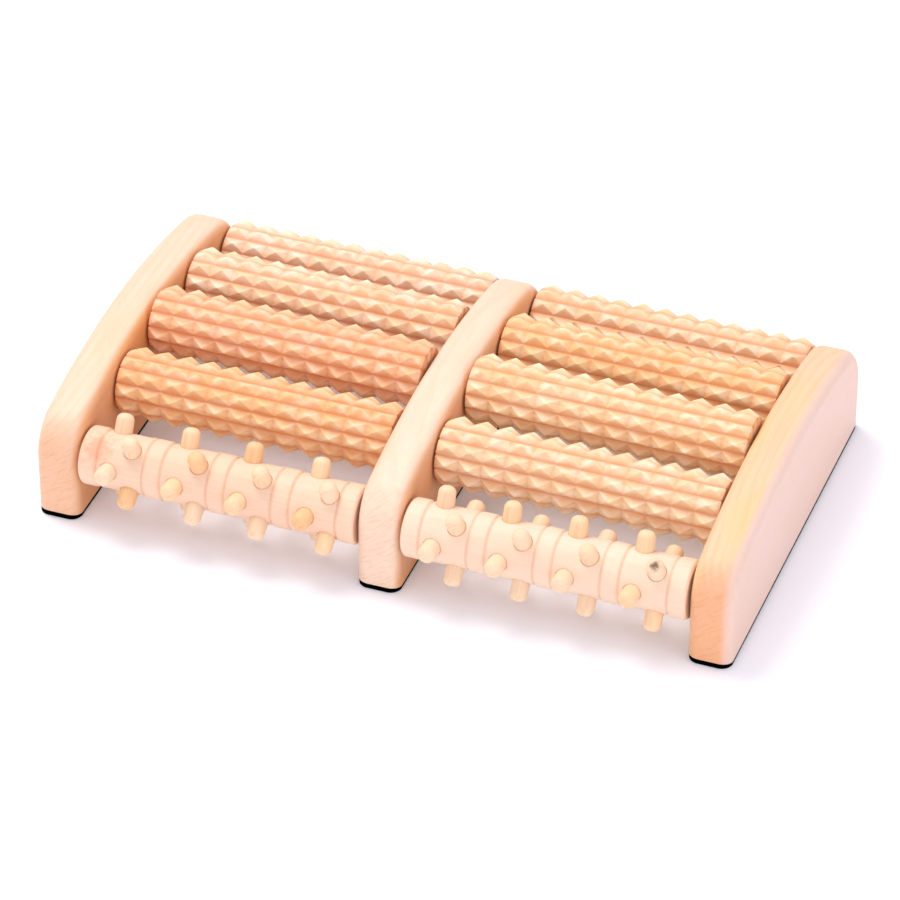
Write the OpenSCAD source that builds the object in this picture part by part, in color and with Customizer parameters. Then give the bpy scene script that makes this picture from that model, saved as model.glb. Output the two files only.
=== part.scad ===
// Double foot massage roller: three wooden rails on rubber strips carry five steel
// axles. On each axle two wooden rollers turn freely, one for each foot: knob rollers
// with domed pegs in the front row, ridged rollers in the four rows behind them.
// Front is -Y. X runs along the axles. Z = 0 is the floor under the rubber strips.

/* [Frame] */
// Width over the two outer rails
body_w = 277; // [240:1:360]
// Length of every rail from front to back
rail_d = 164; // [162:1:200]
// Thickness of every rail
rail_t = 17; // [15:0.5:24]
// Height of the rail crown above the floor
crown_h = 50.8; // [49:0.2:56]
// Radius of the long crown curve
crown_r = 300; // [280:5:600]
// Radius of the front top corner
front_r = 18; // [14:0.5:20]
// Radius of the rear top corner
rear_r = 22; // [16:0.5:24]
// Round-over along the front, top and rear edges of the rails
edge_r = 4.5; // [2:0.25:5.5]

/* [Rubber strips] */
// Thickness of the strip under each rail
strip_t = 1.8; // [1:0.1:4]
// How far the strip stays inside the rail outline
strip_inset = 0.5; // [0.2:0.1:2]

/* [Axles] */
// Diameter of the steel axles
axle_d = 6; // [4:0.25:7]
// Depth of the blind axle holes in the outer rails
axle_seat = 11; // [6:0.5:13]

/* [Rows] */
// Knob row, distance of the axle behind the rail front
row1_y = 10.75; // [10:0.25:13]
// Knob row, height of the axle
row1_z = 25.25; // [24:0.25:28]
// First ridged row, distance behind the rail front
row2_y = 48; // [46:0.25:49]
// First ridged row, height of the axle
row2_z = 34.5; // [32:0.25:37]
// Second ridged row, distance behind the rail front
row3_y = 81; // [80:0.25:84]
// Second ridged row, height of the axle
row3_z = 41.5; // [34:0.25:42.5]
// Third ridged row, distance behind the rail front
row4_y = 117.5; // [115:0.25:119]
// Third ridged row, height of the axle
row4_z = 36; // [33:0.25:38]
// Last ridged row, distance behind the rail front
row5_y = 152.5; // [150:0.25:154]
// Last ridged row, height of the axle
row5_z = 26.5; // [24:0.25:29]

/* [Rollers] */
// Gap between a roller end and the rail beside it
end_gap = 0.8; // [0.5:0.1:3]
// Play of the roller bore on its axle, across the diameter
axle_play = 0.1; // [0.06:0.02:0.18]
// Diameter over the tooth tips of a ridged roller
ridge_d = 28; // [24:0.5:29]
// Teeth along a ridged roller
teeth_long = 12; // [8:1:16]
// Rows of teeth around a ridged roller
teeth_round = 12; // [11:1:16]
// Depth of the V grooves that run around a ridged roller
ring_groove = 2.4; // [1:0.1:3]
// Depth of the V grooves that run along a ridged roller
long_groove = 2.7; // [1:0.1:3.2]
// Width of the flat left on the tooth tips
tooth_land = 0.7; // [0.3:0.1:1.2]

/* [Knob rollers] */
// Diameter of the five raised bands
band_d = 22.8; // [18:0.2:24]
// Width of a raised band
band_w = 7.4; // [5:0.2:9]
// Height of a raised band above the four plain lengths that hold the pegs
band_step = 0.3; // [0.2:0.1:1.2]
// Width and depth of the fine groove at each side of a band
fine_groove = 0.6; // [0.4:0.1:1.2]
// Diameter of a peg
peg_d = 7.1; // [5:0.1:7.6]
// Height of a domed peg above the plain length
peg_out = 7.4; // [5:0.1:9]
// Width of the flat left at the top of a domed peg
peg_land = 2; // [0.6:0.2:4]
// Wood left between the foot of a peg and the bore
peg_wall = 3; // [1:0.1:3.5]
// Side step of every second peg along the roller
peg_step = 4; // [3.9:0.1:5]
// Left roller, angles of the three pegs that face forward and up
left_front_pegs = [-29, 26, 79]; // [-40:1:90]
// Left roller, angles of the three pegs behind and below
left_back_pegs = [124, 190, 262]; // [120:1:290]
// Right roller, angles of the three pegs that face forward and up
right_front_pegs = [-22, 32, 84]; // [-40:1:90]
// Right roller, angles of the three pegs behind and below
right_back_pegs = [140, 210, 280]; // [120:1:290]
// Left roller, how far each ring of pegs stands off the middle of its plain length
left_ring_shift = [-0.3, 0.7, 0.5, 1.5]; // [-1.5:0.1:1.5]
// Right roller, how far each ring of pegs stands off the middle of its plain length
right_ring_shift = [0, 0, 0, 0]; // [-1.5:0.1:1.5]

/* [Hidden] */
$fn = 96;
eps = 0.5;
mid_y = rail_d / 2;
rail_pitch = (body_w - rail_t) / 2;
bay_w = rail_pitch - rail_t;
roller_l = bay_w - 2 * end_gap;
axle_l = body_w - 2 * (rail_t - axle_seat);
bore_d = axle_d + axle_play;
rows = [
  [row1_y - mid_y, row1_z], [row2_y - mid_y, row2_z], [row3_y - mid_y, row3_z],
  [row4_y - mid_y, row4_z], [row5_y - mid_y, row5_z],
];
crown_z = crown_h - crown_r;
front_y = front_r - mid_y;
rear_y = mid_y - rear_r;
front_z = crown_z + sqrt(pow(crown_r - front_r, 2) - pow(front_y, 2));
rear_z = crown_z + sqrt(pow(crown_r - rear_r, 2) - pow(rear_y, 2));
front_a = atan2(-front_y, front_z - crown_z);
rear_a = atan2(rear_y, rear_z - crown_z);
corner_sides = 48;
crown_sides = 288;
peg_zone_l = (roller_l - 5 * band_w) / 4;
peg_zone_d = band_d - 2 * band_step;
peg_seat = peg_zone_d / 2 - bore_d / 2 - peg_wall;
peg_round = (peg_d - peg_land) / 2;
tooth_pitch = roller_l / teeth_long;
wood_pale = [0.99, 0.90, 0.78];
wood_rail = [0.99, 0.88, 0.76];
wood_tan = [0.96, 0.76, 0.55];
wood_peg = [0.98, 0.84, 0.62];
steel = [0.72, 0.73, 0.75];
rubber = [0.08, 0.08, 0.09];

// Side outline of a rail in Y and Z, drawn smaller by inset on every edge but the bottom
module rail_outline(inset) {
  fr = front_r - inset;
  rr = rear_r - inset;
  cr = crown_r - inset;
  reach = crown_r * 1.2;
  intersection() {
    translate([-mid_y, strip_t]) square([rail_d, crown_h]);
    union() {
      polygon([
        [inset - mid_y, strip_t], [mid_y - inset, strip_t],
        [mid_y - inset, rear_z], [rear_y, rear_z], [front_y, front_z], [inset - mid_y, front_z],
      ]);
      translate([front_y, front_z]) circle(fr, $fn = corner_sides);
      translate([rear_y, rear_z]) circle(rr, $fn = corner_sides);
      intersection() {
        translate([0, crown_z]) circle(cr, $fn = crown_sides);
        polygon([
          [front_y, front_z], [rear_y, rear_z],
          [reach * sin(rear_a), crown_z + reach * cos(rear_a)],
          [-reach * sin(front_a), crown_z + reach * cos(front_a)],
        ]);
      }
    }
  }
}

// A rail blank: slabs that grow thicker as their outline shrinks make the round-over
module rail_blank() {
  hull() for (a = [0 : 15 : 90])
    rotate([90, 0, 90]) linear_extrude(rail_t - 2 * edge_r * (1 - sin(a)), center = true)
      rail_outline(edge_r * (1 - cos(a)));
}

// Turns a shape drawn around Z so that its axis lies along X
module along_x() {
  rotate([0, 90, 0]) children();
}

// A rail with five axle holes that run from x0 to x1 across its thickness
module rail(x0, x1) {
  color(wood_rail) difference() {
    rail_blank();
    for (p = rows) translate([x0, p[0], p[1]]) along_x() cylinder(h = x1 - x0, d = axle_d);
  }
}

module left_rail() {
  translate([-rail_pitch, 0, 0]) rail(rail_t / 2 - axle_seat, rail_t / 2 + eps);
}

module centre_rail() {
  rail(-rail_t / 2 - eps, rail_t / 2 + eps);
}

module right_rail() {
  translate([rail_pitch, 0, 0]) rail(-rail_t / 2 - eps, axle_seat - rail_t / 2);
}

// Rubber strip under the rail whose middle plane is at x
module foot_strip(x) {
  hx = rail_t / 2 - strip_inset;
  hy = mid_y - strip_inset;
  r = edge_r;
  color(rubber) translate([x, 0, 0]) linear_extrude(strip_t) {
    square([2 * hx, 2 * (hy - r)], center = true);
    square([2 * (hx - r), 2 * hy], center = true);
    for (sx = [-1, 1], sy = [-1, 1]) translate([sx * (hx - r), sy * (hy - r)]) circle(r);
  }
}

module left_foot_strip() {
  foot_strip(-rail_pitch);
}

module centre_foot_strip() {
  foot_strip(0);
}

module right_foot_strip() {
  foot_strip(rail_pitch);
}

// Steel axle of a row, seated in all three rails
module axle(row) {
  color(steel) translate([-axle_l / 2, rows[row][0], rows[row][1]]) along_x()
    cylinder(h = axle_l, d = axle_d);
}

module axle_1() {
  axle(0);
}

module axle_2() {
  axle(1);
}

module axle_3() {
  axle(2);
}

module axle_4() {
  axle(3);
}

module axle_5() {
  axle(4);
}

// Places a roller drawn along +Z from 0 into the bay on one side (-1 left, 1 right)
module in_bay(side, row) {
  translate([side * rail_pitch / 2 - roller_l / 2, rows[row][0], rows[row][1]]) along_x() children();
}

// Saw-tooth outline of a ridged roller, height against radius
function ridge_outline() = concat(
  [[0, 0], [ridge_d / 2 - ring_groove, 0]],
  [for (i = [0 : teeth_long - 1], k = [0 : 2])
    k == 2 ? [ridge_d / 2 - ring_groove, (i + 1) * tooth_pitch]
      : [ridge_d / 2, (i + 0.5) * tooth_pitch + (k - 0.5) * tooth_land]],
  [[0, roller_l]]
);

// Star outline that the long V grooves leave, seen along the axle
function star_outline() = [
  for (i = [0 : 2 * teeth_round - 1])
    let (a = i * 180 / teeth_round, r = i % 2 == 0 ? ridge_d / 2 + tooth_land / 2 : ridge_d / 2 - long_groove)
      [r * cos(a), r * sin(a)]
];

module ridge_roller(side, row) {
  color(wood_tan) in_bay(side, row) difference() {
    intersection() {
      rotate_extrude() polygon(ridge_outline());
      linear_extrude(roller_l) polygon(star_outline());
    }
    translate([0, 0, -eps]) cylinder(h = roller_l + 2 * eps, d = bore_d);
  }
}

module left_ridge_roller_1() {
  ridge_roller(-1, 1);
}

module left_ridge_roller_2() {
  ridge_roller(-1, 2);
}

module left_ridge_roller_3() {
  ridge_roller(-1, 3);
}

module left_ridge_roller_4() {
  ridge_roller(-1, 4);
}

module right_ridge_roller_1() {
  ridge_roller(1, 1);
}

module right_ridge_roller_2() {
  ridge_roller(1, 2);
}

module right_ridge_roller_3() {
  ridge_roller(1, 3);
}

module right_ridge_roller_4() {
  ridge_roller(1, 4);
}

// Turned outline of a knob roller: five chamfered bands with four plain lengths between
function knob_outline() =
  let (
    rb = band_d / 2, rz = peg_zone_d / 2, g = fine_groove, c = band_step,
    step = band_w + peg_zone_l
  )
  concat(
    [[0, 0]],
    [for (i = [0 : 4], k = [0 : 5])
      let (z0 = i * step, z1 = z0 + band_w)
      if (!(i == 4 && k == 5))
        k == 0 ? [rb - c - g, z0]
          : k == 1 ? [rb, z0 + c + g]
          : k == 2 ? [rb, z1 - c - g]
          : k == 3 ? [rb - c - g, z1]
          : k == 4 && i < 4 ? [rz, z1 + g]
          : k == 5 ? [rz, z1 + peg_zone_l - g]
          : [rb - c - g, z1]],
    [[0, roller_l]]
  );

// Middle of peg ring i (1 to 4) along the roller on one side
function ring_z(side, i) =
  i * band_w + (i - 0.5) * peg_zone_l + (side < 0 ? left_ring_shift : right_ring_shift)[i - 1];

// Angles of the pegs on one side. Angle 0 is straight up and grows toward the front
function peg_angles(side) = side < 0 ? concat(left_front_pegs, left_back_pegs)
  : concat(right_front_pegs, right_back_pegs);

// Places children at the foot of each peg of ring i, pointing outward
module at_pegs(side, i) {
  angles = peg_angles(side);
  for (k = [0 : len(angles) - 1])
    translate([0, 0, ring_z(side, i) + (k % 2 == 0 ? -1 : 1) * peg_step])
      rotate([0, 0, 180 + angles[k]]) rotate([0, 90, 0])
        translate([0, 0, peg_zone_d / 2 - peg_seat]) children();
}

module knob_roller(side) {
  color(wood_pale) in_bay(side, 0) difference() {
    rotate_extrude() polygon(knob_outline());
    translate([0, 0, -eps]) cylinder(h = roller_l + 2 * eps, d = bore_d);
    for (i = [1 : 4]) at_pegs(side, i) cylinder(h = peg_seat + 2, d = peg_d);
  }
}

// Half section of a domed peg, from its seat to its rounded end
module peg_section() {
  l = peg_seat + peg_out;
  r = peg_d / 2;
  square([r, l - peg_round]);
  square([r - peg_round, l]);
  intersection() {
    translate([r - peg_round, l - peg_round]) circle(peg_round);
    square([r, l]);
  }
}

// One ring of domed pegs, each glued into its hole
module pegs(side, i) {
  color(wood_peg) in_bay(side, 0) at_pegs(side, i) rotate_extrude() peg_section();
}

module left_knob_roller() {
  knob_roller(-1);
}

module left_pegs_1() {
  pegs(-1, 1);
}

module left_pegs_2() {
  pegs(-1, 2);
}

module left_pegs_3() {
  pegs(-1, 3);
}

module left_pegs_4() {
  pegs(-1, 4);
}

module right_knob_roller() {
  knob_roller(1);
}

module right_pegs_1() {
  pegs(1, 1);
}

module right_pegs_2() {
  pegs(1, 2);
}

module right_pegs_3() {
  pegs(1, 3);
}

module right_pegs_4() {
  pegs(1, 4);
}

left_rail();
centre_rail();
right_rail();
left_foot_strip();
centre_foot_strip();
right_foot_strip();
axle_1();
axle_2();
axle_3();
axle_4();
axle_5();
left_knob_roller();
left_pegs_1();
left_pegs_2();
left_pegs_3();
left_pegs_4();
right_knob_roller();
right_pegs_1();
right_pegs_2();
right_pegs_3();
right_pegs_4();
left_ridge_roller_1();
left_ridge_roller_2();
left_ridge_roller_3();
left_ridge_roller_4();
right_ridge_roller_1();
right_ridge_roller_2();
right_ridge_roller_3();
right_ridge_roller_4();
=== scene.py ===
"""Double foot massage roller, as assembled: rails and their rubber strips, steel axles,
ridged rollers, then the knob rollers with their pegs. Metres, front at -Y, floor at Z = 0."""

import math
import random

import bmesh
import bpy
import numpy as np
from mathutils import Matrix, Vector


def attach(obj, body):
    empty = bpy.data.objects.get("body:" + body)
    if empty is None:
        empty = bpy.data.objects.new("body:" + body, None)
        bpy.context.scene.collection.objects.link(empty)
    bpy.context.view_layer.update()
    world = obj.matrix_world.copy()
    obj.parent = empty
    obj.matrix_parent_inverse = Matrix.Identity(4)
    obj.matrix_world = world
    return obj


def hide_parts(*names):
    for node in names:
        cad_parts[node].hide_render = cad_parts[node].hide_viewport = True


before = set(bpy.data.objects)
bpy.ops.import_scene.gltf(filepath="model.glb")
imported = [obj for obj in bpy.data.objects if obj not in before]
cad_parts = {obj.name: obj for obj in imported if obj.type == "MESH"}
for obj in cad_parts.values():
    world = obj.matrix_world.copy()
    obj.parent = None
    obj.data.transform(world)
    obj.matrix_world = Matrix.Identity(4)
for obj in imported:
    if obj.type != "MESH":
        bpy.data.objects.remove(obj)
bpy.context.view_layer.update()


# ---------------------------------------------------------------------------------------
# Rails. Three boards of pale hardwood, sawn to a low arch, rounded over along the front,
# top and rear edges, sanded and left clear. Five blind or through holes hold the axles.
# ---------------------------------------------------------------------------------------
overall_width = 0.277
rail_length = 0.164
rail_thickness = 0.017
crown_height = 0.0508
crown_radius = 0.300
front_corner_radius = 0.018
rear_corner_radius = 0.022
edge_round = 0.0045
arris = 0.0007
strip_thickness = 0.0018
axle_radius = 0.003
axle_seat_depth = 0.011
hole_clearance = 0.00012
cutter_overrun = 0.002
round_steps = 9
rail_spacing = (overall_width - rail_thickness) / 2
half_length = rail_length / 2
row_places = [
    (0.01075 - half_length, 0.02525),
    (0.048 - half_length, 0.0345),
    (0.081 - half_length, 0.0415),
    (0.1175 - half_length, 0.0360),
    (0.1525 - half_length, 0.0265),
]


def from_srgb(red, green, blue):
    """A colour given as 0 to 255, as the linear values that a shader takes."""
    channels = [c / 255 for c in (red, green, blue)]
    return [c / 12.92 if c <= 0.04045 else ((c + 0.055) / 1.055) ** 2.4 for c in channels] + [1.0]


class Value:
    """One output of a shader node, which adds Math nodes when it is worked with."""

    def __init__(self, finish, socket):
        self.finish, self.socket = finish, socket

    def math(self, operation, *others, clamp=False):
        settings = {"operation": operation, "use_clamp": clamp}
        return self.finish.node("ShaderNodeMath", settings, [self, *others])

    def __add__(self, other):
        return self.math("ADD", other)

    def __sub__(self, other):
        return self.math("SUBTRACT", other)

    def __mul__(self, other):
        return self.math("MULTIPLY", other)

    def __truediv__(self, other):
        return self.math("DIVIDE", other)

    def __pow__(self, other):
        return self.math("POWER", other)

    def __neg__(self):
        return self * -1

    def __rsub__(self, other):
        return -self + other

    def __rtruediv__(self, other):
        return self**-1 * other

    __radd__, __rmul__ = __add__, __mul__

    def fract(self):
        return self.math("FRACT")

    def root(self):
        return self.math("SQRT")

    def clipped(self):
        return self.math("ADD", 0.0, clamp=True)

    def ramped(self, low, high):
        """0 at low, 1 at high, smooth in between."""
        settings = {"interpolation_type": "SMOOTHSTEP"}
        return self.finish.node("ShaderNodeMapRange", settings, {0: self, 1: low, 2: high})


class Finish:
    """A material in the making."""

    def __init__(self, name):
        self.material = bpy.data.materials.new(name)
        self.material.use_nodes = True
        self.tree = self.material.node_tree
        self.shader = self.tree.nodes["Principled BSDF"]

    def node(self, kind, settings, inputs, output=0):
        """Adds a node of a kind, with its settings set first and then its sockets."""
        made = self.tree.nodes.new(kind)
        for key, setting in settings.items():
            setattr(made, key, setting)
        pairs = inputs.items() if isinstance(inputs, dict) else enumerate(inputs)
        for key, given in pairs:
            self.fill(made.inputs[key], given)
        return Value(self, made.outputs[output])

    def fill(self, socket, given):
        if isinstance(given, Value):
            self.tree.links.new(given.socket, socket)
        else:
            socket.default_value = given

    def mixed(self, share, first, second):
        """Two colours, mixed by a share from 0 to 1."""
        inputs = {0: share, 6: first, 7: second}
        return self.node("ShaderNodeMix", {"data_type": "RGBA"}, inputs, output=2)

    def placed(self, point, scale, shift=(0, 0, 0)):
        """A point scaled and shifted along each axis."""
        return self.node("ShaderNodeVectorMath", {"operation": "MULTIPLY_ADD"}, [point, scale, shift])

    def parts(self, point):
        """The x, y and z of a point, as three values."""
        split = self.node("ShaderNodeSeparateXYZ", {}, [point])
        return [Value(self, out) for out in split.socket.node.outputs]

    def noise(self, point, scale, detail=3.0, roughness=0.5):
        inputs = {"Vector": point, "Scale": scale, "Detail": detail, "Roughness": roughness}
        return self.node("ShaderNodeTexNoise", {"noise_dimensions": "3D"}, inputs)

    def surface(self, **sockets):
        """Sets the shader's own sockets. An underscore stands for a space in a socket's name."""
        for name, given in sockets.items():
            self.fill(self.shader.inputs[name.replace("_", " ")], given)

    def raised(self, height, depth):
        """A surface normal that shows a height map, depth metres from low to high."""
        inputs = {"Strength": 1.0, "Distance": depth, "Height": height}
        return self.node("ShaderNodeBump", {}, inputs)


def wood_finish(name, pale, dark, flush, end_tone, grain=1.0, ring_gap=0.0032, heart=(0.021, 0.034),
                end_axis=1, end_share=0.6, flank=None, cream=None, painted_groove_shade=None, fibre_depth=0.0001,
                roughness=0.46, marks=()):
    """Clear-finished wood that reads its grain direction from each piece's own blank: growth
    rings round a heart line, long fibres, short flecks, a warmer flush in places, darker end
    grain where the surface faces end_axis, and, where a groove colour is given, painted shade in
    the grooves, darker the deeper a point lies below its crest. Flank is a (colour, share, low,
    high) of painted shading for the faces turned to +X, where it comes in between low and high,
    and cream a colour for pale blotches.
    Each mark is a stain or knot: (centre, size, colour, share)."""
    wood = Finish(name)
    blank = wood.node("ShaderNodeAttribute", {"attribute_name": "blank"}, {}, output=1)
    drift = wood.noise(wood.placed(blank, (9, 28, 28)), 1.0, 2.0) - 0.5
    across, up = wood.parts(blank)[1:]
    side = across + heart[0] + drift * 0.012
    rise = up + heart[1] + drift * 0.008
    out = (side * side + rise * rise).root()
    ring = (out / ring_gap).fract()
    late_wood = ring.ramped(0.35, 0.95) * (1 - ring.ramped(0.95, 1.0))
    end_ring = (out / ring_gap * 2.3).fract().ramped(0.3, 0.8)
    fibre = wood.noise(wood.placed(blank, (55, 1500, 1500)), 1.0, 4.0, 0.6)
    streak = wood.noise(wood.placed(blank, (14, 330, 330)), 1.0, 3.0, 0.55)
    fleck = wood.noise(wood.placed(blank, (300, 2300, 2300)), 1.0, 1.0).ramped(0.64, 0.76)
    patch = wood.noise(wood.placed(blank, (16, 60, 60)), 1.0, 2.0).ramped(0.40, 0.66)
    facing = wood.parts(wood.node("ShaderNodeTexCoord", {}, {}, output=1))
    end_grain = facing[end_axis].math("ABSOLUTE").ramped(0.35, 1.0)
    colour = wood.mixed(late_wood * 0.34 * grain, pale, dark)
    colour = wood.mixed(patch * 0.6, colour, flush)
    colour = wood.mixed((streak - 0.4).clipped() * 0.9 * grain, colour, dark)
    colour = wood.mixed(fleck * 0.25 * grain, colour, dark)
    colour = wood.mixed(end_grain * end_share, colour, end_tone)
    rotate = {"rotation_type": "X_AXIS"}
    slanted = wood.node("ShaderNodeVectorRotate", rotate, {"Vector": blank, "Angle": -0.6})
    end_line = wood.noise(wood.placed(slanted, (50, 150, 1300)), 1.0, 3.0, 0.6).ramped(0.48, 0.66)
    colour = wood.mixed(end_grain * (end_line * 0.45 + end_ring * patch * 0.2), colour, dark)
    if cream:
        pale_spot = wood.noise(wood.placed(blank, (150, 240, 240)), 1.0, 2.0).ramped(0.46, 0.64)
        colour = wood.mixed(pale_spot * 0.72, colour, cream)
    # Painted shading on the faces turned to +X: the flank colour stands in for the shade or light that
    # falls on that side.
    if flank:
        tone, share, low, high = flank
        side_shading_share = (facing[0] + drift * 0.6).ramped(low, high)
        colour = wood.mixed(side_shading_share * share * (0.75 + patch * 0.25), colour, tone)
    height = fibre * 0.6 + streak * 0.4 - late_wood * 0.15 - fleck * 0.5
    # Painted shade in the grooves, stronger the deeper a point lies below its crest.
    if painted_groove_shade:
        groove_shade_share = wood.node("ShaderNodeAttribute", {"attribute_name": "groove"}, {}, output=2)
        colour = wood.mixed(groove_shade_share**1.4 * 0.75, colour, painted_groove_shade)
    place = wood.node("ShaderNodeTexCoord", {}, {}, output=3)
    for centre, size, tone, share in marks:
        rough_edge = (wood.noise(place, 420.0, 3.0, 0.6) - 0.5) * size * 1.6
        gap = wood.node("ShaderNodeVectorMath", {"operation": "DISTANCE"}, [place, centre], output=1)
        colour = wood.mixed((1 - (gap + rough_edge).ramped(size * 0.2, size)) * share, colour, tone)
    wood.surface(
        Base_Color=colour,
        Roughness=roughness + fibre * 0.16 - late_wood * 0.05,
        Normal=wood.raised(height, fibre_depth),
        Specular_IOR_Level=0.4,
    )
    return wood


def show(name, mesh_data, body, node, finish):
    """Puts a finished mesh in the scene in place of its CAD node, riding on its body."""
    piece = bpy.data.objects.new(name, mesh_data)
    bpy.context.scene.collection.objects.link(piece)
    mesh_data.materials.clear()
    mesh_data.materials.append(finish.material)
    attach(piece, body)
    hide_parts(node)
    return piece


def mesh_from(name, points, faces, crease_degrees=35):
    """A smooth-shaded mesh whose edges stay crisp above the crease angle."""
    data = bpy.data.meshes.new(name)
    data.from_pydata([tuple(p) for p in points], [], faces)
    tidy = bmesh.new()
    tidy.from_mesh(data)
    bmesh.ops.recalc_face_normals(tidy, faces=tidy.faces)
    tidy.to_mesh(data)
    tidy.free()
    data.shade_smooth()
    data.set_sharp_from_angle(angle=math.radians(crease_degrees))
    return data


def lofted(loops, closed_ring=False):
    """Points and faces that join loops of equal length, one after the other. The last loop
    meets the first in a closed ring; otherwise both ends are capped."""
    count = len(loops[0])
    points = [p for loop in loops for p in loop]
    faces = []
    steps = len(loops) if closed_ring else len(loops) - 1
    for i in range(steps):
        a, b = i * count, ((i + 1) % len(loops)) * count
        faces += [(a + j, a + (j + 1) % count, b + (j + 1) % count, b + j) for j in range(count)]
    if not closed_ring:
        faces += [tuple(range(count))[::-1], tuple(range((len(loops) - 1) * count, len(points)))]
    return points, faces


def drilled(data, cutters, crease_degrees=35):
    """The mesh with every cutter mesh taken out of it."""
    body = bpy.data.objects.new("work", data)
    bpy.context.scene.collection.objects.link(body)
    tools = []
    for cutter in cutters:
        tool = bpy.data.objects.new("cutter", cutter)
        bpy.context.scene.collection.objects.link(tool)
        tools.append(tool)
    for tool in tools:
        cut = body.modifiers.new("cut", "BOOLEAN")
        cut.operation, cut.solver, cut.object = "DIFFERENCE", "EXACT", tool
    settled = body.evaluated_get(bpy.context.evaluated_depsgraph_get())
    result = bpy.data.meshes.new_from_object(settled)
    for spare in [body, *tools]:
        bpy.data.objects.remove(spare)
    result.shade_smooth()
    result.set_sharp_from_angle(angle=math.radians(crease_degrees))
    return result


def rod_mesh(radius, start, end, sides=48, chamfer=0.0004):
    """A round rod between two points, with a small chamfer at each end."""
    start, end = Vector(start), Vector(end)
    turn = (end - start).to_track_quat("Z", "Y").to_matrix()
    length = (end - start).length
    loops = []
    for height, r in [
        (0, radius - chamfer),
        (chamfer, radius),
        (length - chamfer, radius),
        (length, radius - chamfer),
    ]:
        angles = [2 * math.pi * k / sides for k in range(sides)]
        loops.append([start + turn @ Vector((r * math.cos(a), r * math.sin(a), height)) for a in angles])
    return mesh_from("rod", *lofted(loops))


def set_blank(data, matrix):
    """Stores where each point lies in the blank it was cut from: along the grain, then across."""
    coords = np.empty(len(data.vertices) * 3)
    data.vertices.foreach_get("co", coords)
    turned = coords.reshape(-1, 3) @ np.array(matrix.to_3x3()).T + np.array(matrix.translation)
    store = data.attributes.new("blank", "FLOAT_VECTOR", "POINT")
    store.data.foreach_set("vector", turned.astype(np.float32).ravel())
    data.update()


def rail_outline(inset, low_inset):
    """Side outline of a rail as (y, z) pairs, smaller by inset except at its flat base."""
    crown_z = crown_height - crown_radius
    front_y = front_corner_radius - half_length
    rear_y = half_length - rear_corner_radius
    front_z = crown_z + math.sqrt((crown_radius - front_corner_radius) ** 2 - front_y**2)
    rear_z = crown_z + math.sqrt((crown_radius - rear_corner_radius) ** 2 - rear_y**2)
    front_lean = math.atan2(-front_y, front_z - crown_z)
    rear_lean = math.atan2(rear_y, rear_z - crown_z)

    def arc(y, z, radius, start, stop, steps):
        angles = np.linspace(start, stop, steps)
        return [(y + (radius - inset) * math.sin(a), z + (radius - inset) * math.cos(a)) for a in angles]

    base = strip_thickness
    front = -half_length + inset
    rear = half_length - inset
    outline = [(front + low_inset, base), (front, base + arris), (front, base + 3 * arris)]
    outline += [(front, z) for z in np.linspace(base + 0.005, front_z - 0.003, 5)]
    outline += arc(front_y, front_z, front_corner_radius, -math.pi / 2, -front_lean, 14)
    outline += arc(0, crown_z, crown_radius, -front_lean, rear_lean, 44)[1:-1]
    outline += arc(rear_y, rear_z, rear_corner_radius, rear_lean, math.pi / 2, 14)
    outline += [(rear, z) for z in np.linspace(rear_z - 0.003, base + 0.005, 4)]
    outline += [(rear, base + 3 * arris), (rear, base + arris), (rear - low_inset, base)]
    return outline


def rail_mesh(centre_x):
    """A rail without its axle holes, swept across from one rounded edge to the other."""
    loops = []
    for sweep in [*np.linspace(90, 0, round_steps), *np.linspace(0, 90, round_steps)]:
        a = math.radians(sweep)
        side = -1 if len(loops) < round_steps else 1
        inset = edge_round * (1 - math.cos(a))
        x = centre_x + side * (rail_thickness / 2 - edge_round * (1 - math.sin(a)))
        shrink = arris * math.cos(a)
        loops.append([(x, y, z) for y, z in rail_outline(inset, shrink)])
    return mesh_from("rail", *lofted(loops), crease_degrees=28)


# The flank colours are painted shading: darker orange for the shade on the inner faces of the left and
# centre rails, and pinkish lilac for cool light on the outer face of the right rail.
rail_wood = {
    "left": wood_finish("rail_wood_left", from_srgb(236, 206, 182), from_srgb(222, 168, 122),
                        from_srgb(242, 200, 168), from_srgb(238, 178, 140), grain=0.55,
                        flank=(from_srgb(224, 148, 76), 0.85, 0.45, 1.0)),
    "centre": wood_finish("rail_wood_centre", from_srgb(239, 212, 190), from_srgb(226, 180, 142),
                          from_srgb(240, 200, 172), from_srgb(246, 214, 190), grain=0.5,
                          heart=(0.034, 0.021), flank=(from_srgb(226, 154, 88), 0.85, 0.45, 1.0)),
    "right": wood_finish("rail_wood_right", from_srgb(236, 199, 164), from_srgb(222, 160, 106),
                         from_srgb(243, 202, 142), from_srgb(238, 168, 124), grain=0.6,
                         heart=(0.027, 0.046), end_share=0.75,
                         flank=(from_srgb(228, 200, 194), 0.85, -0.05, 0.7)),
}
grain_along_y = Matrix(((0, 1, 0), (1, 0, 0), (0, 0, 1))).to_4x4()
for name, side in (("left", -1), ("centre", 0), ("right", 1)):
    middle = side * rail_spacing
    reach = rail_thickness / 2 + cutter_overrun
    seat = rail_thickness / 2 - axle_seat_depth
    hole_from = middle + (-reach if side >= 0 else seat)
    hole_to = middle + (reach if side <= 0 else -seat)
    holes = [
        rod_mesh(axle_radius + hole_clearance, (hole_from, y, z), (hole_to, y, z), chamfer=0.00002)
        for y, z in row_places
    ]
    board = drilled(rail_mesh(middle), holes, crease_degrees=28)
    set_blank(board, Matrix.Translation((0.31 * side, 0.0, 0.0)) @ grain_along_y)
    rail = show(f"rail_{name}", board, "base", f"{name}_rail", rail_wood[name])
    even = rail.modifiers.new("even shading", "WEIGHTED_NORMAL")
    even.keep_sharp = True


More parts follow.
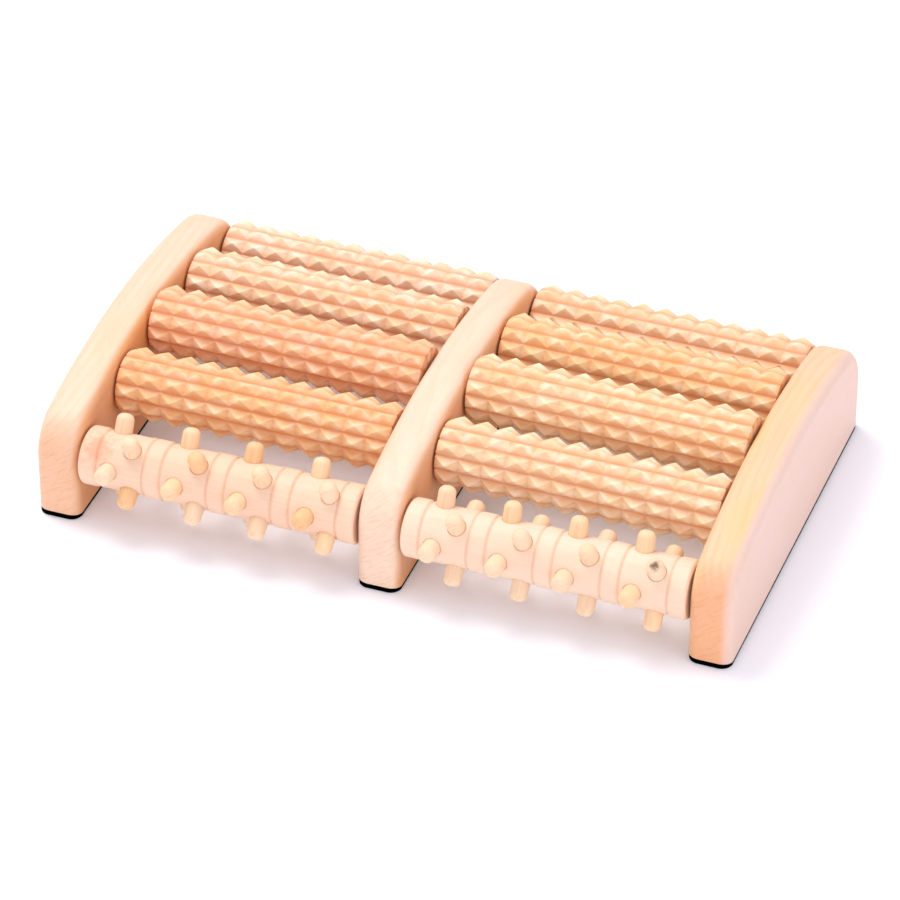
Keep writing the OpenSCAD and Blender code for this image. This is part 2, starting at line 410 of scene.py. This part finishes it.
# ---------------------------------------------------------------------------------------
# Rubber strips. A thin black rubber strip is glued under each rail, just inside its
# outline, and keeps the massager from sliding on a hard floor.
# ---------------------------------------------------------------------------------------
strip_inset = 0.0001
strip_bevel = 0.0003
strip_sides = 48


def strip_mesh(centre_x):
    """A flat strip with rounded corners and a fine bevel at the floor and under the rail."""
    half_width = rail_thickness / 2 - strip_inset
    half_run = half_length - strip_inset
    loops = []
    for z, inset in [
        (0.0, strip_bevel),
        (strip_bevel, 0.0),
        (strip_thickness - strip_bevel, 0.0),
        (strip_thickness, strip_bevel),
    ]:
        loop = []
        for k in range(strip_sides):
            a = 2 * math.pi * k / strip_sides
            corner_x = math.copysign(half_width - edge_round, math.cos(a + 1e-6))
            corner_y = math.copysign(half_run - edge_round, math.sin(a + 1e-6))
            r = edge_round - inset
            loop.append((centre_x + corner_x + r * math.cos(a), corner_y + r * math.sin(a), z))
        loops.append(loop)
    return mesh_from("strip", *lofted(loops))


rubber = Finish("rubber_strip")
rubber_at = rubber.node("ShaderNodeTexCoord", {}, {}, output=3)
crumb = rubber.noise(rubber_at, 2600.0, 3.0, 0.6)
dust = rubber.noise(rubber_at, 160.0, 3.0).ramped(0.5, 0.8)
rubber.surface(
    Base_Color=rubber.mixed(dust * 0.25, from_srgb(5, 5, 6), from_srgb(26, 25, 26)),
    Roughness=0.8 + crumb * 0.2,
    Normal=rubber.raised(crumb, 0.0001),
    Specular_IOR_Level=0.0,
)
for name, side in (("left", -1), ("centre", 0), ("right", 1)):
    show(f"foot_strip_{name}", strip_mesh(side * rail_spacing), "base", f"{name}_foot_strip",
         rubber)


# ---------------------------------------------------------------------------------------
# Axles. Five drawn steel rods, cut to length and lightly chamfered, pressed into the
# rails. They show only in the narrow gaps beside the rollers.
# ---------------------------------------------------------------------------------------
steel = Finish("steel_axle")
steel_at = steel.node("ShaderNodeTexCoord", {}, {}, output=3)
drawn = steel.noise(steel.placed(steel_at, (120, 4200, 4200)), 1.0, 3.0, 0.6)
tarnish = steel.noise(steel_at, 90.0, 3.0).ramped(0.45, 0.8)
steel.surface(
    Base_Color=steel.mixed(tarnish * 0.5, from_srgb(186, 186, 188), from_srgb(132, 124, 116)),
    Metallic=1.0,
    Roughness=0.26 + drawn * 0.2 + tarnish * 0.12,
    Normal=steel.raised(drawn, 0.00004),
)
axle_play = 0.00002
axle_reach = rail_spacing + rail_thickness / 2 - (rail_thickness - axle_seat_depth)
for row, (y, z) in enumerate(row_places, start=1):
    rod = rod_mesh(axle_radius - axle_play, (-axle_reach, y, z), (axle_reach, y, z))
    show(f"axle_rod_{row}", rod, "base", f"axle_{row}", steel)


# ---------------------------------------------------------------------------------------
# Ridged rollers. Turned from tan hardwood, with V grooves cut round them on the lathe and
# V grooves run along them afterwards, which leaves rows of small four-sided teeth.
# ---------------------------------------------------------------------------------------
end_gap = 0.0008
roller_length = rail_spacing - rail_thickness - 2 * end_gap
bore_radius = axle_radius + 0.00005
tip_radius = 0.014
teeth_along = 12
teeth_around = 12
ring_groove_depth = 0.0024
long_groove_depth = 0.0027
tip_land = 0.0004
tooth_pitch = roller_length / teeth_along
row_angle = math.pi / teeth_around
star_tip = tip_radius + tip_land / 2
star_root = tip_radius - long_groove_depth
soft = 0.00022
tooth_wear = 0.00028
groove_sway = 0.00012
bore_chamfer = 0.0005
face_depth = 0.0006


def star_radius(angle):
    """Radius of the long V grooves' flank, at an angle from the crest of its row."""
    root = (star_root * math.cos(row_angle), star_root * math.sin(row_angle))
    normal = (root[1], star_tip - root[0])
    return normal[0] * star_tip / (normal[0] * math.cos(angle) + normal[1] * math.sin(angle))


def crest_meets(radius):
    """Angle from a crest at which the long groove's flank is at this radius."""
    low, high = 0.0, row_angle
    for _ in range(40):
        middle = (low + high) / 2
        low, high = (middle, high) if star_radius(middle) > radius else (low, middle)
    return low


def ridge_mesh(centre_x, y, z, turn, picker):
    """A ridged roller. Teeth differ a little in height, as hand-fed cuts leave them."""
    flat, half = tip_land / 2, tooth_pitch / 2
    slopes = [flat - 0.0001, flat + soft, 0.32 * half, 0.6 * half, half - soft, half]
    offsets = [-s for s in slopes[::-1]] + slopes
    wear = [
        [picker.uniform(0.0, tooth_wear) for _ in range(teeth_around)]
        for _ in range(teeth_along)
    ]
    sway = [picker.uniform(-groove_sway, groove_sway) for _ in range(teeth_along + 1)]
    loops = []
    for tooth in range(teeth_along):
        for offset in offsets[1 if tooth else 0:]:
            reach = max(0.0, abs(offset) - flat) / (half - flat)
            ring_radius = tip_radius - ring_groove_depth * min(1.0, reach)
            edge = crest_meets(ring_radius)
            near = min(soft / tip_radius, 0.45 * edge)
            far = min(soft / tip_radius, 0.4 * (row_angle - edge))
            steps = [0.0, edge - near, edge + far, row_angle - far, row_angle]
            place = (tooth + 0.5) * tooth_pitch + offset
            nudge = sway[tooth + (offset > 0)] * abs(offset) / half
            if 0 < place < roller_length:
                place += nudge
            loop = []
            for row in range(teeth_around):
                worn = wear[tooth][row] * (1 - reach)
                for step in [-s for s in steps[3:0:-1]] + steps:
                    radius = min(ring_radius, star_radius(abs(step))) - worn * (1 - abs(step) / row_angle)
                    angle = turn + 2 * row * row_angle + step
                    loop.append((radius, angle, place))
            loops.append(loop)

    def ring(height, scale, least):
        return [(max(least, r * scale), a, height) for r, a, _ in loops[0]]

    first, last = 0.0, roller_length
    bore_in = bore_radius + bore_chamfer
    bore = [
        [(bore_radius, a, h) for _, a, _ in loops[0]]
        for h in (last - face_depth, last * 0.66, last * 0.33, first + face_depth)
    ]
    loops[0] = [(r, a, first + face_depth * 0.6) for r, a, _ in loops[0]]
    loops[-1] = [(r, a, last - face_depth * 0.6) for r, a, _ in loops[-1]]
    near_face = [ring(first, 0.945, 0.0), ring(first, 0.62, 0.0), ring(first, 0.0, bore_in)]
    far_face = [ring(last, 0.945, 0.0), ring(last, 0.62, 0.0), ring(last, 0.0, bore_in)]
    order = near_face[::-1] + loops + far_face + bore
    solid = [
        [
            (centre_x - roller_length / 2 + h, y + r * math.sin(a), z + r * math.cos(a))
            for r, a, h in loop
        ]
        for loop in order
    ]
    return mesh_from("ridge", *lofted(solid, closed_ring=True), crease_degrees=24)


def grain_along_x(angle, shift):
    """A blank whose grain runs along the roller, turned and shifted in the plank."""
    return Matrix.Translation(shift) @ Matrix.Rotation(angle, 4, "X")


def set_groove_shade(data, y, z, crest, depth, turn=None):
    """Stores how deep each point of a turned piece lies below its crest, from 0 to 1, as the share
    of painted shade for its grooves. On a ridged roller, turned by turn, the long grooves between
    the rows count for most."""
    coords = np.empty(len(data.vertices) * 3)
    data.vertices.foreach_get("co", coords)
    coords = coords.reshape(-1, 3)
    below = (crest - np.hypot(coords[:, 1] - y, coords[:, 2] - z)) / depth
    below[below > 1.25] = 0.3
    if turn is not None:
        angle = np.arctan2(coords[:, 1] - y, coords[:, 2] - z) - turn
        below = 0.35 * below + 0.65 * np.abs((angle / row_angle + 1) % 2 - 1) ** 2
    store = data.attributes.new("groove", "FLOAT", "POINT")
    store.data.foreach_set("value", np.clip(below, 0, 1).astype(np.float32))


picker = random.Random(20)
ridge_tones = {
    "left": [(246, 205, 156), (247, 204, 162), (250, 220, 184), (251, 226, 196)],
    "right": [(250, 223, 185), (250, 221, 178), (249, 213, 164), (250, 220, 182)],
}
crest_turns = {"left": [-15.5, -26.8, -29.5, -8.2], "right": [-17.5, -25.3, -27.8, -29.2]}
for side, bay in (("left", -1), ("right", 1)):
    for number in range(1, 5):
        red, green, blue = ridge_tones[side][number - 1]
        # The groove colour is painted shade, darkest in the long grooves between the rows of teeth.
        finish = wood_finish(
            f"ridge_wood_{side}_{number}", from_srgb(red, green, blue),
            from_srgb(red - 26, green - 52, blue - 62), from_srgb(red - 6, green - 16, blue - 22),
            from_srgb(red - 14, green - 30, blue - 36), grain=0.7, ring_gap=0.0024, end_axis=0,
            end_share=0.5, painted_groove_shade=from_srgb(red - 34, green - 92, blue - 108), roughness=0.5,
            cream=from_srgb(red + 2, green + 14, blue + 28),
        )
        y, z = row_places[number]
        turn = math.radians(crest_turns[side][number - 1])
        data = ridge_mesh(bay * rail_spacing / 2, y, z, turn, picker)
        shift = (picker.uniform(-1, 1), picker.uniform(-0.02, 0.02), picker.uniform(-0.02, 0.02))
        set_blank(data, grain_along_x(picker.uniform(0, 6.28), shift) @ Matrix.Translation((0, -y, -z)))
        set_groove_shade(data, y, z, tip_radius, long_groove_depth, turn)
        piece = show(f"ridge_roller_{side}_{number}", data, f"{side}_ridge_{number}",
                     f"{side}_ridge_roller_{number}", finish)
        piece.modifiers.new("even shading", "WEIGHTED_NORMAL")


# ---------------------------------------------------------------------------------------
# Knob rollers. Turned from pale wood, with five raised bands set off by fine grooves and
# four plain lengths between them, each drilled for a ring of pegs.
# ---------------------------------------------------------------------------------------
band_radius = 0.0114
band_width = 0.0074
plain_radius = 0.0111
fine_groove = 0.0006
plain_length = (roller_length - 5 * band_width) / 4
peg_radius = 0.00355
peg_out = 0.0074
peg_seat = plain_radius - bore_radius - 0.003
peg_step = 0.004
pegs_per_ring = 6
peg_sides = 32
socket_clearance = 0.0001
socket_reach = 0.008
stain_width = 0.0085
peg_angles = {
    "left": [-29, 26, 79, 124, 190, 262],
    "right": [-22, 32, 84, 140, 210, 280],
}
ring_shift = {
    "left": [-0.0003, 0.0007, 0.0005, 0.0015],
    "right": [0.0, 0.0, 0.0, 0.0],
}


def rounded_profile(corners, rounding, steps=5):
    """A line through (height, radius) corners, with each inner corner rounded off."""
    line = [corners[0]]
    for before, corner, after in zip(corners, corners[1:], corners[2:]):
        corner, back, ahead = Vector(corner), Vector(before), Vector(after)
        cut_back = min(rounding, (back - corner).length * 0.45)
        cut_ahead = min(rounding, (ahead - corner).length * 0.45)
        a = corner + (back - corner).normalized() * cut_back
        b = corner + (ahead - corner).normalized() * cut_ahead
        for k in range(steps + 1):
            t = k / steps
            line.append(tuple(a * (1 - t) ** 2 + corner * 2 * t * (1 - t) + b * t * t))
    return line + [corners[-1]]


def turned_loops(line, centre_x, y, z, sides):
    """Loops of a turned shape about an axle, from (height, radius) pairs."""
    start = centre_x - roller_length / 2
    angles = [2 * math.pi * k / sides for k in range(sides)]
    return [
        [(start + h, y + r * math.sin(a), z + r * math.cos(a)) for a in angles]
        for h, r in line
    ]


def knob_line():
    """Outline of a knob roller as (height, radius) pairs, band by band."""
    shoulder = band_radius - plain_radius + fine_groove
    low = band_radius - shoulder
    line = []
    for band in range(5):
        start = band * (band_width + plain_length)
        stop = start + band_width
        ease = shoulder * 0.95
        line += [(start, low), (start + ease, band_radius), (stop - ease, band_radius), (stop, low)]
        if band < 4:
            line.append((stop + fine_groove, plain_radius))
            line.append((stop + plain_length - fine_groove, plain_radius))
    return rounded_profile(line, 0.0006)


def peg_frame(side, ring, k, y, z):
    """Centre line of a peg: where it leaves the axle's line, and its outward direction."""
    bay = -1 if side == "left" else 1
    angle = math.radians(peg_angles[side][k])
    along = ring * band_width + (ring - 0.5) * plain_length + ring_shift[side][ring - 1]
    along += -peg_step if k % 2 == 0 else peg_step
    foot = Vector((bay * rail_spacing / 2 - roller_length / 2 + along, y, z))
    return foot, Vector((0, -math.sin(angle), math.cos(angle)))


knob_y, knob_z = row_places[0]
stain_at = (
    -rail_spacing / 2 - roller_length / 2 + 0.0065,
    knob_y - band_radius * math.sin(math.radians(35)),
    knob_z + band_radius * math.cos(math.radians(35)),
)
# The groove colours are painted shade in the fine grooves beside the bands.
knob_wood = {
    "left": wood_finish(
        "knob_wood_left", from_srgb(241, 208, 182), from_srgb(226, 176, 142), from_srgb(240, 198, 170),
        from_srgb(240, 196, 164), grain=0.4, ring_gap=0.0021, end_axis=0, end_share=0.4,
        painted_groove_shade=from_srgb(224, 174, 146),
        marks=[(stain_at, stain_width, from_srgb(230, 150, 114), 0.55)],
    ),
    "right": wood_finish(
        "knob_wood_right", from_srgb(243, 217, 194), from_srgb(228, 186, 152), from_srgb(242, 208, 182),
        from_srgb(240, 200, 168), grain=0.4, ring_gap=0.0021, end_axis=0, end_share=0.4,
        painted_groove_shade=from_srgb(228, 184, 156),
    ),
}
for side, bay in (("left", -1), ("right", 1)):
    middle = bay * rail_spacing / 2
    line = knob_line()
    rim = bore_radius + bore_chamfer
    inside = [
        (roller_length, rim),
        (roller_length - bore_chamfer, bore_radius),
        (bore_chamfer, bore_radius),
        (0.0, rim),
    ]
    loops = turned_loops(line + inside, middle, knob_y, knob_z, 96)
    core = mesh_from("knob core", *lofted(loops, closed_ring=True), crease_degrees=35)
    sockets = []
    for ring in range(1, 5):
        for k in range(pegs_per_ring):
            foot, out = peg_frame(side, ring, k, knob_y, knob_z)
            near = foot + out * (plain_radius - peg_seat)
            far = near + out * socket_reach
            sockets.append(rod_mesh(peg_radius + socket_clearance, near, far, peg_sides, 0.00002))
    core = drilled(core, sockets)
    shift = (0.4 * bay, 0.004, 0.003)
    set_blank(core, grain_along_x(0.7 + bay, shift) @ Matrix.Translation((0, -knob_y, -knob_z)))
    set_groove_shade(core, knob_y, knob_z, plain_radius - 0.00005, 0.0006)
    show(f"knob_roller_{side}", core, f"{side}_knob", f"{side}_knob_roller",
         knob_wood[side])


# ---------------------------------------------------------------------------------------
# Pegs. Short hardwood dowels with one domed end, glued into the knob rollers, six to a
# ring. Their grain runs along each peg, so the dome shows end grain.
# ---------------------------------------------------------------------------------------
peg_dome = 0.00255
glue_relief = 0.00004
knot_width = 0.0027
knot_foot, knot_out = peg_frame("right", 4, 1, knob_y, knob_z)
knot_at = tuple(knot_foot + knot_out * (plain_radius + peg_out) + Vector((0.0003, 0, -0.0002)))
peg_tones = {
    "c": ((243, 214, 184), (228, 182, 138), (244, 206, 168)),
    "h": ((244, 211, 172), (222, 168, 118), (244, 200, 152)),
    "a": ((241, 197, 150), (214, 150, 100), (239, 184, 130)),
}
peg_wood = [
    wood_finish(f"peg_wood_{key}", from_srgb(*pale), from_srgb(*dark), from_srgb(*flush),
                from_srgb(*flush), grain=0.45, ring_gap=0.0013, end_share=0.0, fibre_depth=0.00008,
                marks=[(knot_at, knot_width, from_srgb(92, 66, 50), 0.9)] if key == "c" else ())
    for key, (pale, dark, flush) in peg_tones.items()
]
peg_choice = {
    "left": ["cccahc", "hahcch", "achccc", "hcahch"],
    "right": ["ccccac", "hccchc", "hcccac", "hchhhc"],
}


def peg_ring(side, ring, picker):
    """The six pegs of one ring as one mesh, and the number of each face's wood tone."""
    points, faces, blanks, tones = [], [], [], []
    angles = [2 * math.pi * n / peg_sides for n in range(peg_sides)]
    for k in range(pegs_per_ring):
        foot, out = peg_frame(side, ring, k, knob_y, knob_z)
        reach = peg_seat + peg_out - picker.uniform(0.0, 0.0004)
        taper = picker.uniform(0.00008, 0.0002)
        top = peg_radius - taper
        line = [(0.0001, 0.0), (0.0001, peg_radius - 0.0004), (0.0005, peg_radius - glue_relief)]
        line += [(peg_seat, peg_radius - glue_relief), (reach - peg_dome, top)]
        for a in np.linspace(0, math.pi / 2, 9)[1:]:
            inner = top - peg_dome
            line.append((reach - peg_dome * (1 - math.sin(a)), inner + peg_dome * math.cos(a)))
        line.append((reach, 0.0))
        base = foot + out * (plain_radius - peg_seat)
        turn = out.to_track_quat("Z", "Y").to_matrix()
        shift = Vector((k * 0.37 + ring * 0.11, 0.004 * (k % 3), 0.003 * (ring % 3)))
        loops = []
        for h, r in line:
            r = max(r, 1e-5)
            local = [Vector((r * math.cos(a), r * math.sin(a), h)) for a in angles]
            loops.append([base + turn @ p for p in local])
            blanks += [Vector((p.z, p.x, p.y)) + shift for p in local]
        more_points, more_faces = lofted(loops)
        offset = len(points)
        points += more_points
        faces += [tuple(i + offset for i in face) for face in more_faces]
        tones += [list(peg_tones).index(peg_choice[side][ring - 1][k])] * len(more_faces)
    data = mesh_from("pegs", points, faces, crease_degrees=50)
    store = data.attributes.new("blank", "FLOAT_VECTOR", "POINT")
    store.data.foreach_set("vector", np.array([tuple(b) for b in blanks], np.float32).ravel())
    return data, tones


for side in ("left", "right"):
    for ring in range(1, 5):
        data, tones = peg_ring(side, ring, picker)
        piece = show(f"pegs_{side}_{ring}", data, f"{side}_knob", f"{side}_pegs_{ring}",
                     peg_wood[0])
        for finish in peg_wood[1:]:
            data.materials.append(finish.material)
        data.polygons.foreach_set("material_index", tones)
        data.update()


# ---------------------------------------------------------------------------------------
# Studio. A white floor that glows slightly, a large soft lamp high on the left as the key,
# two weak ones, at the front and on the right, and an even pale surround.
# ---------------------------------------------------------------------------------------
floor_data = bpy.data.meshes.new("floor")
floor_data.from_pydata([(-6, -6, 0), (6, -6, 0), (6, 9, 0), (-6, 9, 0)], [], [(0, 1, 2, 3)])
floor = bpy.data.objects.new("floor", floor_data)
bpy.context.scene.collection.objects.link(floor)
floor_finish = Finish("floor_white")
floor_finish.surface(
    Base_Color=from_srgb(240, 243, 252), Roughness=0.8, Specular_IOR_Level=0.2,
    Emission_Color=(1.0, 0.98, 1.0, 1.0), Emission_Strength=0.1,
)
floor_data.materials.append(floor_finish.material)


def soft_lamp(name, place, aim, size, power, colour):
    """A rectangular soft box at a place, turned to face its aim."""
    lamp = bpy.data.lights.new(name, "AREA")
    lamp.shape, lamp.size, lamp.size_y = "RECTANGLE", size[0], size[1]
    lamp.energy, lamp.color = power, colour
    holder = bpy.data.objects.new(name, lamp)
    holder.location = place
    holder.rotation_euler = (Vector(aim) - Vector(place)).to_track_quat("-Z", "Y").to_euler()
    bpy.context.scene.collection.objects.link(holder)


soft_lamp("key", (-0.62, 0.30, 1.45), (0, 0, 0.02), (0.8, 0.8), 15.5, (1.0, 0.98, 0.95))
soft_lamp("front", (0.2, -1.6, 0.8), (0, 0, 0.02), (1.2, 0.7), 5, (1.0, 0.95, 0.93))
soft_lamp("right", (1.5, -0.3, 0.6), (0.14, 0, 0.02), (0.8, 0.8), 4.5, (0.95, 0.91, 1.0))
world = bpy.data.worlds.new("surround")
world.use_nodes = True
world.node_tree.nodes["Background"].inputs["Color"].default_value = (0.97, 0.93, 0.95, 1.0)
world.node_tree.nodes["Background"].inputs["Strength"].default_value = 0.8
bpy.context.scene.world = world
bpy.context.scene.view_settings.view_transform = "Standard"

camera_data = bpy.data.cameras.new("camera")
camera_data.sensor_width = 36.0
camera_data.lens = 210.86
camera_data.clip_start, camera_data.clip_end = 0.05, 30.0
camera = bpy.data.objects.new("camera", camera_data)
bpy.context.scene.collection.objects.link(camera)
right = Vector((0.938040, 0.346527, 0.000283))
back = Vector((0.277677, -0.752153, 0.597630))
up = back.cross(right)
camera.matrix_world = Matrix((right, up, back)).transposed().to_4x4()
camera.location = (0.562368, -1.526186, 1.220716)
bpy.context.scene.camera = camera
